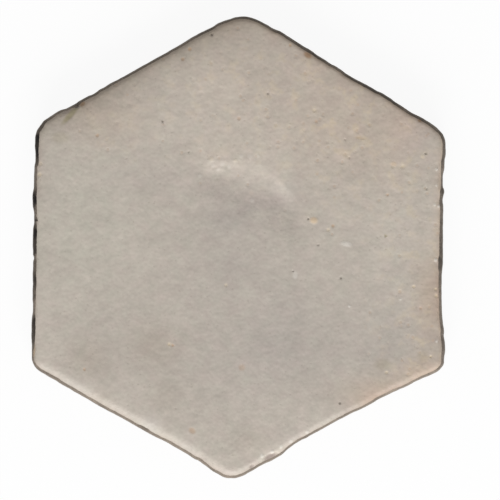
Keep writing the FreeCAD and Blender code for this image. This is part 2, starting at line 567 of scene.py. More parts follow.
MARKS = (
    # A raised bump whose milk-white ink is a painted highlight.
    Mark(346, 244, 1.1, -0.12, Ink.MILK, 0.35, stretch=2.2, turn=-10),
    Mark(295, 275, 1.1, -0.02, Ink.MILK, 0.30, stretch=1.6, turn=90),
    Mark(313.5, 220.5, 1.4, -0.20, Ink.AMBER, 0.65, stretch=1.2, turn=-15),
    Mark(71, 115.5, 1.2, 0.12, Ink.OLIVE, 0.85, stretch=4.2, turn=48),
    Mark(77.5, 107, 0.8, 0.25, Ink.CLAY, 0.8, stretch=1.5, turn=30),
    Mark(83, 104.5, 0.9, 0.10, Ink.BROWN, 0.6, stretch=1.4, turn=40),
    Mark(270.5, 456.5, 1.5, 0.55, Ink.SLATE, 0.95, stretch=2.0, turn=24),
    Mark(252, 465.5, 0.7, 0.35, Ink.SLATE, 0.6, stretch=1.6, turn=28),
    Mark(33.5, 349, 1.0, 0.10, Ink.TAN, 0.9, stretch=3.6, turn=90),
    Mark(307.5, 56, 1.2, 0.10, Ink.BROWN, 0.75, stretch=1.6, turn=-33),
    Mark(419, 121, 0.8, 0.12, Ink.BROWN, 0.7),
    Mark(382, 364, 2.6, 0.05, Ink.OLIVE, 0.30, stretch=1.3),
    Mark(422, 356, 2.4, 0.04, Ink.OLIVE, 0.26),
    Mark(61, 138, 2.4, 0.02, Ink.OLIVE, 0.25, stretch=1.6),
    Mark(192.5, 430, 1.2, 0.10, Ink.RUST, 0.45, stretch=1.3, turn=-40),
    Mark(242, 367, 1.4, 0.06, Ink.RUST, 0.30),
    Mark(393, 164.5, 1.1, -0.09, Ink.AMBER, 0.35, stretch=1.2),
    Mark(392, 167.5, 0.6, 0.05, Ink.OLIVE, 0.35, stretch=1.4),
    Mark(422, 157, 0.9, -0.09, Ink.STRAW, 0.3),
    # Lumps on the dent's lip, whose straw ink is partly a painted highlight.
    Mark(211.5, 159.5, 1.0, -0.05, Ink.STRAW, 0.16),
    Mark(235.5, 161, 0.8, -0.05, Ink.STRAW, 0.16),
    Mark(359.5, 138.5, 0.6, 0.06, Ink.TAN, 0.32, stretch=4.0, turn=-10),
    Mark(385, 236, 0.6, 0.08, Ink.OLIVE, 0.75),
    Mark(183, 60, 0.8, 0.10, Ink.BROWN, 0.5),
    Mark(217, 179, 0.7, 0.05, Ink.PIT, 0.10),
    *small_marks(
        Kind.PINHOLE,
        (308, 219), (163, 122, 0.5, 0.5), (340.5, 278), (339.5, 402.5, 0.55),
        (318, 245, 0.45, 0.4), (293, 271, 0.35, 0.4), (344.5, 140, 0.4, 0.3),
        (268, 94, 0.5, 0.35), (212, 35.5, 0.6, 0.7), (349, 158, 0.4, 0.35), (425, 154, 0.5, 0.5),
        (426, 189, 0.5, 0.35), (189, 153, 0.35, 0.4),
    ),
    *small_marks(
        Kind.RUSTY_PIT,
        (173, 345, 0.6), (332.5, 226, 0.7), (387, 195, 0.5), (290, 46, 0.6),
        (239, 119, 0.8, 0.35), (316, 122, 0.7, 0.45), (85, 369, 0.5), (98, 136, 0.7, 0.5),
        (190, 50, 0.8), (420, 308, 0.6, 0.35),
    ),
    *small_marks(
        Kind.CRATER,
        (169.5, 344, 0.7), (402, 167, 0.8, 0.25), (413, 286.5, 0.7), (435, 289, 0.6),
        (435.5, 296, 0.6), (430, 356, 0.5), (386, 372, 0.7, 0.4), (328, 230, 0.8, 0.35),
        (314, 111, 0.8, 0.25), (226, 285, 0.7, 0.3), (40.5, 175, 0.9, 0.4), (41, 164, 1.0, 0.25),
    ),
    *small_marks(
        Kind.GLINT,
        (434, 205), (438, 206.5), (436, 186, 0.4), (435, 260, 0.75), (436, 170, 0.5, 0.5),
        (349, 306, 0.5), (400, 299, 0.45), (436, 341, 0.5, 0.5), (262, 455, 0.8, 0.40),
        (272, 451, 0.9, 0.45), (281, 446, 0.7, 0.40), (291, 440.5, 0.8, 0.40),
        (307, 431.5, 0.8, 0.35),
    ),
    *small_marks(
        Kind.LUMP,
        (213, 166), (218, 169.5, 0.7), (222.5, 164.5), (229, 167, 0.7), (241, 156.5),
        (250, 157, 1.1), (258, 156.5, 0.8), (200, 176, 0.8), (252, 200.5, 1.0),
    ),
)


@dataclass(frozen=True)
class Area:
    """A soft broad area of the face, about the pixel where the photograph shows its middle."""

    across: float
    down: float
    radius_px: float
    amount: float
    stretch: float = 1.0

    def strength(self, spot: Vector) -> float:
        """Find how strongly the area shows.

        Args:
            spot: The spot in metres.

        Returns:
            The area's amount in its middle, and less farther out.
        """
        middle = PHOTO.place(self.across, self.down)
        across, up = (spot.xy - middle.xy) / (self.radius_px * PHOTO.pixel)
        return self.amount * math.exp(-((across / self.stretch) ** 2) - up**2)


def amount(areas: tuple[Area, ...], spot: Vector) -> float:
    """How much some areas come to at a spot."""
    return sum(area.strength(spot) for area in areas)


@dataclass(frozen=True)
class Patch(Area):
    """A soft area with a tint of its own, some of them painted highlight and some painted shade.
    """

    tint: Tint = field(kw_only=True)

    def shares(self, spot: Vector) -> Vector:
        """What the patch makes of red, green and blue at a spot."""
        return Vector((1, 1, 1)).lerp(Vector(self.tint.value), self.strength(spot))


def patches(tint: Tint, *spots: tuple[float, ...]) -> tuple[Patch, ...]:
    """Make patches of one tint.

    Args:
        tint: The tint.
        spots: The pixel, radius in pixels, amount and, if not round, stretch of each.

    Returns:
        The patches.
    """
    return tuple(Patch(*spot, tint=tint) for spot in spots)


PATCHES = (
    *patches(
        Tint.ASH,
        # (250, 208) and (230, 221) are painted shade on the dent's near slope, which faces away
        # from the lamp.
        (235, 265, 60, 0.8), (250, 355, 45, 0.7, 3.2), (250, 385, 42, 0.3, 0.7),
        (250, 208, 6, 1.0, 1.6), (233, 262, 14, 0.5), (240, 44, 12, 0.5, 1.6),
        (280, 100, 20, 0.4, 1.5), (230, 221, 15, 1.2, 1.5), (105, 100, 14, 0.6),
        (437, 325, 50, 0.9, 0.25), (437, 284, 18, 1.0, 0.5), (290, 305, 28, 0.6),
        (392, 320, 28, 0.4, 1.4), (406, 362, 26, 0.5), (385, 395, 9, 0.9, 2.6),
        (108, 352, 22, 0.4), (278, 345, 30, 1.0), (360, 345, 40, 0.5, 1.6), (66, 112, 9, 1.2),
        (38, 162, 16, 1.1), (38, 198, 18, 0.9), (442, 264, 13, 1.4), (361, 411, 13, 0.7, 1.6),
    ),
    *patches(
        Tint.PALE,
        # (235, 157) and (290, 177) are painted highlight along the dent's lip; (278, 452), (308,
        # 438), (285, 450), (414, 380), (92, 397) and (146, 425) are painted highlight on the lower
        # rims, which face the lamp.
        (255, 130, 36, 1.2, 2.6), (405, 235, 60, 0.7, 0.7), (432, 205, 16, 0.6, 0.5),
        (235, 157, 20, 0.95, 3.6), (345, 190, 20, 0.45, 2.2), (165, 72, 14, 0.4, 1.6),
        (214, 96, 26, 1.3, 1.7), (375, 265, 24, 0.5), (278, 452, 16, 1.8), (308, 438, 12, 0.7),
        (285, 450, 8, 1.0, 2.2), (414, 380, 8, 0.9), (290, 177, 28, 0.55, 1.8),
        (92, 397, 13, 0.8, 1.4), (146, 425, 10, 0.8, 1.4),
    ),
    *patches(
        Tint.MAUVE,
        # (235, 192) and (278, 204) are painted shade in the dent.
        (235, 192, 15, 0.4, 2.6), (278, 204, 12, 0.6, 1.6), (150, 176, 12, 0.4, 3.4),
        (416, 142, 18, 0.5), (292, 436, 12, 0.4, 1.5),
    ),
    *patches(
        Tint.SAGE,
        (80, 225, 70, 0.8, 0.7),
    ),
    *patches(
        Tint.STRAW,
        (350, 125, 55, 1.0, 1.3), (240, 75, 50, 0.5, 1.5), (215, 150, 16, 0.3, 2.0),
        (105, 118, 26, 0.9, 1.6), (400, 108, 16, 0.5), (352, 80, 16, 0.4), (312, 54, 16, 0.6),
        (276, 32, 14, 0.7), (36, 182, 36, 0.5, 0.35), (392, 391, 10, 0.4, 1.5),
    ),
    *patches(
        Tint.LILAC,
        # (284, 188) is painted highlight on the dent's lip; the other three are painted highlight
        # on the lower left rim.
        (284, 188, 9, 1.0, 1.5), (72, 388, 14, 1.1, 1.4), (150, 424, 10, 1.8), (186, 448, 9, 0.8),
    ),
    *patches(
        Tint.UMBER,
        (238, 28, 22, 0.35, 1.3), (103, 398, 10, 0.2), (83, 105, 4, 0.5), (90, 360, 22, 0.30),
        (155, 345, 22, 0.32, 1.3), (167, 395, 20, 0.16), (250, 440, 14, 0.18, 1.4),
        (374, 93, 14, 0.18), (350, 412, 10, 0.14, 1.5), (392, 391, 10, 0.16, 1.5),
    ),
    *patches(
        Tint.PEACH,
        (395, 165, 30, 0.12), (429, 300, 45, 0.65, 0.33), (378, 402, 8, 0.6, 2.6),
        (378, 392, 16, 0.6, 2.2), (425, 374, 16, 0.8, 1.6),
    ),
    *patches(
        Tint.ROSE,
        (404, 128, 18, 1.0), (325, 62, 22, 0.7, 1.5),
    ),
)

# Where straw blotches, dots and small craters gather in the glaze
FLECKED = (
    Area(345, 120, 75, 1.0),
    Area(415, 250, 90, 0.7, stretch=0.45),
    Area(225, 90, 60, 0.65, stretch=1.4),
    Area(420, 350, 35, 0.8),
    Area(110, 130, 35, 0.35),
)

# Where the glaze is rougher: on and below the dent's lip, and towards the upper right
ROUGH = (
    Area(217, 164, 11, 1.5, stretch=2.4),
    Area(255, 178, 14, 0.4, stretch=2.0),
    Area(350, 120, 80, 0.35),
)


@dataclass(frozen=True)
class Dent:
    """The shallow thumb dent in the face, steep below its far lip and easy on its near side.

    The lip runs level from the left and then bends down to the right. The steep side and the
    easy side are each so wide, and wider by the second value at the swell.
    """

    across: float = 262
    down: float = 161
    bend: float = 2.4 * MM
    falls: float = 1.12
    depth: float = 0.80 * MM
    steep: tuple[float, float] = (4.2 * MM, 3.4 * MM)
    easy: tuple[float, float] = (10 * MM, 6 * MM)
    swell_across: float = 250
    swell_px: float = 20
    left_px: tuple[float, float] = (186, 224)
    right_px: tuple[float, float] = (304, 288)

    def push(self, spot: Vector) -> float:
        """Find how far the face is pressed in.

        Args:
            spot: The spot in metres.

        Returns:
            The depth in metres.
        """
        lip = PHOTO.place(self.across, self.down)
        past = (spot.x - lip.x) / self.bend
        slope = self.falls / (1 + math.exp(-past))
        level = lip.y - self.falls * self.bend * math.log1p(math.exp(past))
        below = (level - spot.y) / math.hypot(1, slope)
        if below <= 0:
            return 0.0
        pixel = PHOTO.tile_centre_px[0] + spot.x / PHOTO.pixel
        swell = math.exp(-(((pixel - self.swell_across) / self.swell_px) ** 2))
        steep, easy = (plain + more * swell for plain, more in (self.steep, self.easy))
        share = min(below / steep, 1.0)
        ends = ease(pixel, *self.left_px) * ease(pixel, *self.right_px)
        return self.depth * share * (3 - share) / 2 * ease(below, steep + easy, steep) * ends


@dataclass(frozen=True)
class Craters:
    """Small craters scattered in the glaze where it is flecked.

    The reach is a share of the spacing. Where the glaze is wholly flecked, the filled share of
    the cells hold a crater. A crater's middle is tinted with so much straw.
    """

    spacing: float = 3.8 * MM
    depth: float = 0.07 * MM
    reach: float = 0.32
    filled: float = 0.75
    least_flecks: float = 0.1
    draw: float = 9.7
    straw: float = 0.5

    def hollow(self, spot: Vector) -> float:
        """Find how far down in a crater a spot lies.

        Args:
            spot: The spot in metres.

        Returns:
            A number from 0, outside every crater, to 1, in a crater's middle.
        """
        flecked = amount(FLECKED, spot)
        if flecked < self.least_flecks:
            return 0.0
        distances, middles = noise.voronoi(spot / self.spacing)
        if noise.cell(middles[0] * self.draw) > self.filled * min(flecked, 1.0):
            return 0.0
        return ease(distances[0], self.reach, 0.0)


@dataclass(frozen=True)
class WireDrag:
    """The arcs that the cutting wire left across the back, and its grit, in millimetres."""

    pivot: tuple[float, float] = (-140, -30)
    flatness: float = 0.9
    arcs: Layer = Layer(0.09, 1.6, stretch=(1, 37.5, math.inf), shift=(0, 0, 2))
    grit: Layer = Layer(0.04, 2.2)
    sink: float = 0.13

    def height(self, place: Vector) -> float:
        """Find the height over the plain back, which is always into the clay.

        Args:
            place: The place in millimetres.

        Returns:
            The height in millimetres.
        """
        sweep = math.hypot(place.x - self.pivot[0], place.y * self.flatness - self.pivot[1])
        return self.arcs.at(Vector((sweep, place.y, 0))) + self.grit.at(place) - self.sink


@dataclass(frozen=True)
class ScorchAndShadeMarks:
    """How dark the bare clay is, as kiln scorch and painted shade of the side walls, darkest
    where a nick bares more of it.

    The stray turns the nicks' edges by degrees, and the patches add to the darkness itself.
    """

    stray: Layer = Layer(1.6, 2.4)
    patches: Layer = Layer(0.45, 4.5)
    per_bared_mm: float = 1.5

    def at(self, spot: Vector, rim: Rim, outline: Outline) -> float:
        """Find how dark the clay is.

        Args:
            spot: The spot in metres.
            rim: The rim beside it.
            outline: The tile's outline.

        Returns:
            A number from 0 to 1.
        """
        place = spot / MM
        bearing = math.atan2(spot.y, spot.x) + math.radians(self.stray.at(place))
        bared_mm = outline.bared(bearing) / MM
        scorch_and_shade = rim.scorch_and_shade + self.per_bared_mm * bared_mm + self.patches.at(place)
        return min(max(scorch_and_shade, 0.0), 1.0)


def place_mesh(name: str, shape: bmesh.types.BMesh) -> bpy.types.Object:
    """Put a finished shape into the scene.

    Args:
        name: What the object is called.
        shape: Its shape, which is freed.

    Returns:
        The object.
    """
    mesh = bpy.data.meshes.new(name)
    shape.to_mesh(mesh)
    shape.free()
    item = bpy.data.objects.new(name, mesh)
    bpy.context.scene.collection.objects.link(item)
    return item


@dataclass
class TileBody:
    """The fired slab and its glaze, as one closed skin.

    The face, the back, the roll, the wall and the back rim each have their own count of rows.
    The mesh is finer round the marks with a small radius, as far as the fine reach, which is a
    nearness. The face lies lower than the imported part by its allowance, so that lumps fit in.
    """

    node: bpy.types.Object
    lean: float = math.radians(2.5)
    back_chamfer: float = 0.6 * MM
    back_margin: float = 0.8 * MM
    face_allowance: float = 0.22 * MM
    face_rows: int = 128
    back_rows: int = 54
    roll_rows: int = 12
    wall_rows: int = 11
    rim_rows: int = 2
    fine_cuts: int = 3
    fine_up_to_mm: float = 1.5
    fine_reach: float = 1.5
    face_layers: tuple[Layer, ...] = (
        Layer(0.10, 38),
        Layer(0.06, 15, shift=(7, 3, 1)),
        Layer(0.055, 6.5),
        Layer(0.050, 3.0, more_where_rough=0.12),
        Layer(0.026, 1.7, shift=(3, 8, 5), more_where_rough=0.06),
    )
    wall_layers: tuple[Layer, ...] = (Layer(0.07, 0.9, stretch=(10, 10, 1)), Layer(0.05, 1.3))
    wall_sink: float = 0.10 * MM
    wall_mark_share: float = 0.6
    glaze_coat: float = 0.10 * MM
    glaze_line: tuple[Layer, ...] = (
        Layer(0.12, 5, stretch=(1, 1, math.inf), shift=(0, 0, 0.5)),
        Layer(0.12, 1.9, stretch=(1, 1, math.inf), shift=(0, 0, 4)),
    )
    line_softness: float = 0.28 * MM
    line_softness_on_wall: float = 0.6 * MM
    all_glazed: float = 68 * MM
    dent: Dent = Dent()
    craters: Craters = Craters()
    wire_drag: WireDrag = WireDrag()
    scorch_and_shade_marks: ScorchAndShadeMarks = ScorchAndShadeMarks()
    thickness: float = field(init=False)
    outline: Outline = field(init=False)
    mark_places: KDTree = field(init=False)

    FACING_DOWN = -0.5
    WALL_TO_FACE = (0.05, 0.5)
    MOST_CORNERS = 4

    def __post_init__(self) -> None:
        """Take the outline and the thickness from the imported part, and map the marks."""
        low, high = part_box(self.node.name)
        self.thickness = high.z - low.z
        self.outline = Outline(self.node, NICKS)
        self.mark_places = KDTree(len(MARKS))
        for index, mark in enumerate(MARKS):
            self.mark_places.insert(mark.place, index)
        self.mark_places.balance()

    def build(self) -> bpy.types.Object:
        """Model the tile and give its skin the values that its finish reads.

        Returns:
            The finished piece.
        """
        skin = bmesh.new()
        self._lay_face(skin)
        self._pull_sides(skin)
        self._close_back(skin)
        self._refine(skin)
        bmesh.ops.recalc_face_normals(skin, faces=skin.faces[:])
        self._press_relief(skin)
        self._note_finish(skin)
        for face in skin.faces:
            face.smooth = True
        return place_mesh("glazed_tile", skin)

    @property
    def upright(self) -> float:
        """The slope in radians at which the roll turns into the leaning wall."""
        return math.pi / 2 - self.lean

    def face_edge(self, rim: Rim) -> tuple[float, float]:
        """Find where the fall of the face turns into the roll.

        Args:
            rim: The rim there.

        Returns:
            The depth inside the outline and the height, in metres.
        """
        height = self.thickness - self.face_allowance - rim.drop
        roll = rim.roll * (math.sin(self.upright) - math.sin(rim.start))
        foot = height - rim.roll * (math.cos(rim.start) - math.cos(self.upright))
        return roll + foot * math.tan(self.lean), height

    @staticmethod
    def _lay_lattice(sheet: bmesh.types.BMesh, rows: int) -> None:
        """Make an even hexagon of reach 1 out of triangles, with a corner on +Y."""
        bmesh.ops.create_circle(sheet, cap_ends=True, cap_tris=True, segments=HEXAGON, radius=1)
        bmesh.ops.subdivide_edges(sheet, edges=sheet.edges[:], cuts=rows - 1, use_grid_fill=True)

    @staticmethod
    def _hexagon_share(place: Vector) -> float:
        """Find how far out a place lies in the even hexagon of reach 1.

        Args:
            place: The place in that hexagon.

        Returns:
            A number from 0, in the middle, to 1, at the edge.
        """
        apothem = math.cos(math.pi / HEXAGON)
        turns = (2 * math.pi * side / HEXAGON for side in range(HEXAGON))
        return max(place.x * math.cos(turn) + place.y * math.sin(turn) for turn in turns) / apothem

    def _lay_face(self, skin: bmesh.types.BMesh) -> None:
        """Lay an even lattice of triangles over the face, out to where the roll begins.

        Args:
            skin: The empty skin.
        """
        self._lay_lattice(skin, self.face_rows)
        for vert in skin.verts:
            self._place_on_face(vert)

    def _place_on_face(self, vert: bmesh.types.BMVert) -> None:
        """Move one point of the even hexagon to its place on the tile's own face.

        Args:
            vert: The point.
        """
        if vert.co.xy.length == 0:
            vert.co.z = self.thickness - self.face_allowance
            return
        bearing = math.atan2(vert.co.y, vert.co.x)
        rim = Rim.at(bearing)
        depth, height = self.face_edge(rim)
        edge = self.outline.inset(bearing, depth)
        place = edge * self._hexagon_share(vert.co)
        inside = (edge - place).dot(self.outline.outward(bearing))
        fallen = rim.drop * math.exp(-max(inside, 0.0) / rim.fall)
        vert.co = (place.x, place.y, height + rim.drop - fallen)

    def _stations(self, bearing: float) -> list[tuple[float, float]]:
        """List the section from the face's edge to the back.

        Args:
            bearing: The bearing in radians.

        Returns:
            Pairs of the depth inside the outline and the height, in metres.
        """
        rim = Rim.at(bearing)
        depth, height = self.face_edge(rim)
        rows = []
        for row in range(1, self.roll_rows + 1):
            slope = rim.start + (self.upright - rim.start) * row / self.roll_rows
            out = rim.roll * (math.sin(slope) - math.sin(rim.start))
            down = rim.roll * (math.cos(rim.start) - math.cos(slope))
            rows.append((depth - out, height - down))
        foot = rows[-1][1]
        for row in range(1, self.wall_rows + 1):
            level = foot + (self.back_chamfer - foot) * row / self.wall_rows
            rows.append((level * math.tan(self.lean), level))
        for row in range(1, self.rim_rows + 1):
            share = row / self.rim_rows
            rows.append((self.back_chamfer * share, self.back_chamfer * (1 - share)))
        return rows

    def _pull_sides(self, skin: bmesh.types.BMesh) -> None:
        """Pull the face's border out over the roll, down the wall and in under the back rim.

        Args:
            skin: The skin with its face.
        """
        border = [edge for edge in skin.edges if edge.is_boundary]
        bearings = skin.verts.layers.float.new("bearing")
        for vert in skin.verts:
            vert[bearings] = math.atan2(vert.co.y, vert.co.x)
        round_the_face = {vert[bearings] for edge in border for vert in edge.verts}
        stations = {bearing: self._stations(bearing) for bearing in round_the_face}
        for row in range(self.roll_rows + self.wall_rows + self.rim_rows):
            pulled = bmesh.ops.extrude_edge_only(skin, edges=border)["geom"]
            border = [item for item in pulled if isinstance(item, bmesh.types.BMEdge)]
            for vert in (item for item in pulled if isinstance(item, bmesh.types.BMVert)):
                depth, level = stations[vert[bearings]][row]
                vert.co = self.outline.inset(vert[bearings], depth).to_3d()
                vert.co.z = level
            border = [edge for edge in border if edge.is_boundary]
        skin.verts.layers.float.remove(bearings)

    def _close_back(self, skin: bmesh.types.BMesh) -> None:
        """Close the back with a coarser lattice that meets the rim's border.

        Args:
            skin: The skin with its face and sides.
        """
        back = bmesh.new()
        self._lay_lattice(back, self.back_rows)
        margin = self.back_chamfer + self.back_margin
        for vert in back.verts:
            bearing = math.atan2(vert.co.y, vert.co.x)
            share = self._hexagon_share(vert.co)
            vert.co = (self.outline.inset(bearing, margin) * share).to_3d()
        bmesh.ops.reverse_faces(back, faces=back.faces[:])
        mesh = bpy.data.meshes.new("back")
        back.to_mesh(mesh)
        back.free()
        skin.from_mesh(mesh)
        bpy.data.meshes.remove(mesh)
        borders = [edge for edge in skin.edges if edge.is_boundary]
        bmesh.ops.bridge_loops(skin, edges=borders)

    def _refine(self, skin: bmesh.types.BMesh) -> None:
        """Cut the skin finer round each small mark, so that the mark has a shape of its own.

        Args:
            skin: The closed skin.
        """
        top = self.thickness / 2
        upper = [edge for edge in skin.edges if all(vert.co.z > top for vert in edge.verts)]
        middles = KDTree(len(upper))
        for index, edge in enumerate(upper):
            middle = (edge.verts[0].co + edge.verts[1].co) / 2
            middles.insert((middle.x, middle.y, 0), index)
        middles.balance()
        chosen = set()
        for mark in (mark for mark in MARKS if mark.radius_mm <= self.fine_up_to_mm):
            reach = mark.radius_mm * MM * mark.stretch * self.fine_reach
            for _, index, _ in middles.find_range(mark.place, reach):
                if all(mark.nearness(v.co) < self.fine_reach for v in upper[index].verts):
                    chosen.add(upper[index])
        picked = list(chosen)
        bmesh.ops.subdivide_edges(skin, edges=picked, cuts=self.fine_cuts, use_grid_fill=True)
        many = [face for face in skin.faces if len(face.verts) > self.MOST_CORNERS]
        bmesh.ops.triangulate(skin, faces=many)

    def near_marks(self, spot: Vector) -> list[Mark]:
        """The marks that may reach a spot."""
        flat = Vector((spot.x, spot.y, 0))
        return [MARKS[index] for _, index, _ in self.mark_places.find_range(flat, Mark.REACH)]

    def _press_relief(self, skin: bmesh.types.BMesh) -> None:
        """Move every point of the skin along its normal by what the hand and kiln left there.

        Args:
            skin: The closed skin.
        """
        skin.normal_update()
        moves = {vert: vert.normal * self.relief(vert.co, vert.normal) for vert in skin.verts}
        for vert, move in moves.items():
            vert.co += move
            vert.co.z = max(vert.co.z, 0.0)

    def relief(self, spot: Vector, normal: Vector) -> float:
        """Find how far the skin stands off its plain form.

        Args:
            spot: The spot on the skin.
            normal: The way the skin faces there.

        Returns:
            The height along the normal, in metres.
        """
        if normal.z < self.FACING_DOWN:
            return self.wire_drag.height(spot / MM) * MM
        upness = ease(normal.z, *self.WALL_TO_FACE)
        return self._wall_relief(spot) * (1 - upness) + self._face_relief(spot) * upness

    def _face_relief(self, spot: Vector) -> float:
        """Add up the swell, dent, pebbles, craters and marks of the face and its roll.

        Args:
            spot: The spot on the skin.

        Returns:
            The height in metres.
        """
        height = pile(self.face_layers, spot, amount(ROUGH, spot))
        height -= self.craters.depth * self.craters.hollow(spot)
        return height - self.dent.push(spot) - self._mark_depth(spot)

    def _mark_depth(self, spot: Vector) -> float:
        """How deep the marks go at a spot, in metres."""
        near = self.near_marks(spot)
        return sum(m.depth_mm * ease(m.nearness(spot), *m.HOLLOW_FADES) for m in near) * MM

    def _wall_relief(self, spot: Vector) -> float:
        """Add up the drag lines, grit and the glaze's thickness on the sides.

        Args:
            spot: The spot on the skin.

        Returns:
            The height in metres.
        """
        coat = self.glaze_coat * self.glaze_share(spot)
        marked = self._mark_depth(spot) * self.wall_mark_share
        return pile(self.wall_layers, spot) - self.wall_sink + coat - marked

    def inside(self, spot: Vector) -> float:
        """How far inside the outline a spot lies, in metres."""
        bearing = math.atan2(spot.y, spot.x)
        return (self.outline.point(bearing) - spot.xy).dot(self.outline.outward(bearing))

    def glaze_share(self, spot: Vector) -> float:
        """Find how far the glaze covers a spot.

        Args:
            spot: The spot on the skin.

        Returns:
            A number from 0, bare clay, to 1, glaze.
        """
        if spot.xy.length < self.all_glazed:
            return 1.0
        bearing = math.atan2(spot.y, spot.x)
        rim = Rim.at(bearing)
        bare = rim.bare + self.outline.bared(bearing) + pile(self.glaze_line, spot)
        _, height = self.face_edge(rim)
        foot = height - rim.roll * (math.cos(rim.start) - math.cos(self.upright))
        if spot.z < foot:
            soft = self.line_softness_on_wall
            return ease(spot.z - bare / math.tan(self.lean), -soft, soft)
        return ease(self.inside(spot) - bare, -self.line_softness, self.line_softness)

    def tint(self, spot: Vector) -> Vector:
        """Find what the thin rim, the patches and the craters do to the glaze's colour, painted
        shade and highlight included.

        Args:
            spot: The spot on the skin.

        Returns:
            The shares of red, green and blue.
        """
        rim = Rim.at(math.atan2(spot.y, spot.x))
        # On the upper sides the rim's tint is painted shade.
        thin = math.exp(-max(self.inside(spot) - rim.bare, 0.0) / rim.thin)
        tint = Vector((1, 1, 1)).lerp(Vector(rim.tint), thin)
        for patch in PATCHES:
            tint *= patch.shares(spot)
        straw = self.craters.straw * self.craters.hollow(spot)
        return tint.lerp(Vector(Tint.STRAW.value), straw)

    def ink(self, spot: Vector) -> tuple[float, float, float, float]:
        """Find the mark that colours a spot.

        Args:
            spot: The spot on the skin.

        Returns:
            Its colour, and how far it covers the glaze.
        """
        near = self.near_marks(spot)
        if not near:
            return (*linear(*Ink.PIT.value), 0.0)
        mark = min(near, key=lambda one: one.nearness(spot))
        cover = mark.cover * ease(mark.nearness(spot), *mark.COLOUR_FADES)
        return (*linear(*mark.ink.value), cover)

    def _note_finish(self, skin: bmesh.types.BMesh) -> None:
        """Write the glaze's cover, tint, flecks and marks at every point of the skin.

        Args:
            skin: The finished skin.
        """
        shares, colours = ("glaze", "flecked", "scorch_and_shade", "pale_foot"), ("tint", "ink")
        for name in shares:
            skin.verts.layers.float.new(name)
        for name in colours:
            skin.verts.layers.float_color.new(name)
        glaze, flecked, scorch_and_shade, pale_foot = (skin.verts.layers.float[name] for name in shares)
        tint, ink = (skin.verts.layers.float_color[name] for name in colours)
        top = self.thickness / 2
        for vert in skin.verts:
            spot = vert.co
            rim = Rim.at(math.atan2(spot.y, spot.x))
            vert[scorch_and_shade] = self.scorch_and_shade_marks.at(spot, rim, self.outline)
            vert[pale_foot] = rim.pale_foot
            vert[tint] = (1, 1, 1, 1)
            if spot.z >= top:
                vert[glaze] = self.glaze_share(spot)
                vert[flecked] = amount(FLECKED, spot)
                vert[tint] = (*self.tint(spot), 1)
                vert[ink] = self.ink(spot)


@dataclass(frozen=True)
class Cloud:
    """Cloudy unevenness in a finish: the size of its lumps in metres, and how far it swings."""

    size: float
    detail: float = 2.0
    roughness: float = 0.5
    swing: float = 1.0


